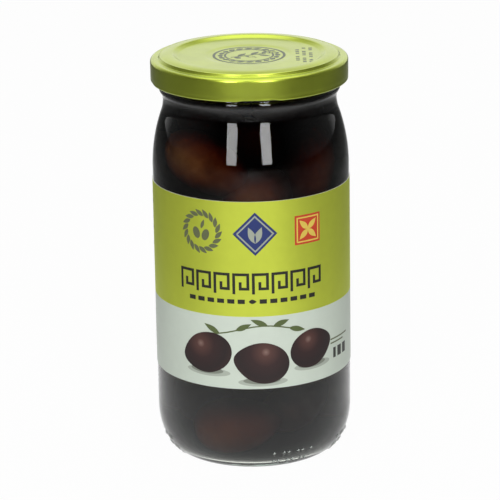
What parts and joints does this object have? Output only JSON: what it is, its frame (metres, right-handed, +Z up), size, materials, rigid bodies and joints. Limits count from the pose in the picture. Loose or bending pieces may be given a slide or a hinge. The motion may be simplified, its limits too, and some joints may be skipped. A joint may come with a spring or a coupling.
{
  "type": "jar of olives",
  "caption": "Shut glass jar of dark olives in brine, with a rounded shoulder, a metal twist-off lid and a wrap-around paper label.",
  "frame": {"origin": "centre of the jar's base, on the surface that it stands on", "axes": "+Z up along the jar's axis; -Y is the side that the label's front faces"},
  "size_m": [0.0664, 0.0664, 0.138],
  "materials": {
    "glass": "clear soda-lime glass, faint green tint",
    "lid_paint": "lime-gold lacquered tinplate, glossy",
    "label_paper": "coated paper, lime above and white below, semi-matte",
    "brine": "dark red-brown brine with olives in it"
  },
  "bodies": {
    "root": {"jar": "glass", "lid": "lid_paint", "label": "label_paper", "brine": "brine"}
  },
  "joints": []
}
